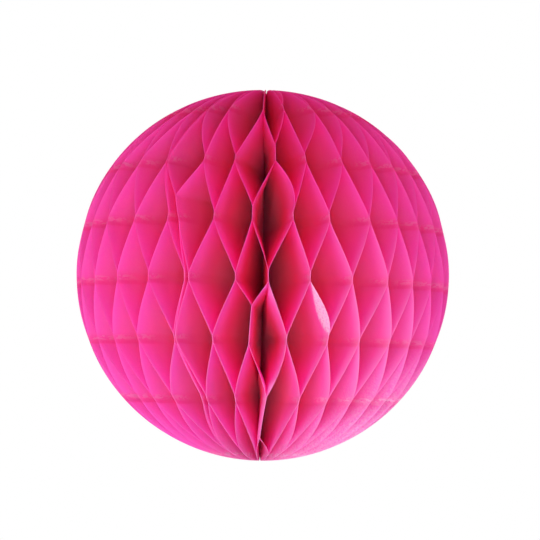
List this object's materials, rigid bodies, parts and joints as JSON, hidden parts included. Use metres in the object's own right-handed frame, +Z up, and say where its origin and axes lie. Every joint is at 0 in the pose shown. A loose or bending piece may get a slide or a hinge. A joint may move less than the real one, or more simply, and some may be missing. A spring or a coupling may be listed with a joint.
{
  "type": "honeycomb paper ball",
  "caption": "Decorative ball of folded tissue leaves glued in level stripes around a cord spine, so that the leaves open into a honeycomb of cells.",
  "frame": {"origin": "centre of the ball, halfway up the spine", "axes": "+Z up along the spine cord, +X to the right of the picture's view, +Y away from the viewer"},
  "size_m": [0.1993, 0.1995, 0.1998],
  "materials": {
    "tissue": "matte tissue",
    "cord": "twisted cotton"
  },
  "bodies": {
    "root": {"leaf_01": "tissue", "leaf_02": "tissue", "leaf_03": "tissue", "leaf_04": "tissue", "leaf_05": "tissue", "leaf_06": "tissue", "leaf_07": "tissue", "leaf_08": "tissue", "leaf_09": "tissue", "leaf_10": "tissue", "leaf_11": "tissue", "leaf_12": "tissue", "leaf_13": "tissue", "leaf_14": "tissue", "leaf_15": "tissue", "leaf_16": "tissue", "leaf_17": "tissue", "leaf_18": "tissue", "leaf_19": "tissue", "leaf_20": "tissue", "leaf_21": "tissue", "leaf_22": "tissue", "leaf_23": "tissue", "leaf_24": "tissue", "leaf_25": "tissue", "leaf_26": "tissue", "leaf_27": "tissue", "leaf_28": "tissue", "leaf_29": "tissue", "leaf_30": "tissue", "leaf_31": "tissue", "leaf_32": "tissue", "leaf_33": "tissue", "leaf_34": "tissue", "leaf_35": "tissue", "leaf_36": "tissue", "leaf_37": "tissue", "leaf_38": "tissue", "leaf_39": "tissue", "leaf_40": "tissue", "leaf_41": "tissue", "leaf_42": "tissue", "leaf_43": "tissue", "leaf_44": "tissue", "leaf_45": "tissue", "leaf_46": "tissue", "leaf_47": "tissue", "leaf_48": "tissue", "leaf_49": "tissue", "leaf_50": "tissue", "leaf_51": "tissue", "leaf_52": "tissue", "leaf_53": "tissue", "leaf_54": "tissue", "leaf_55": "tissue", "leaf_56": "tissue", "leaf_57": "tissue", "leaf_58": "tissue", "spine_cord": "cord"}
  },
  "joints": []
}
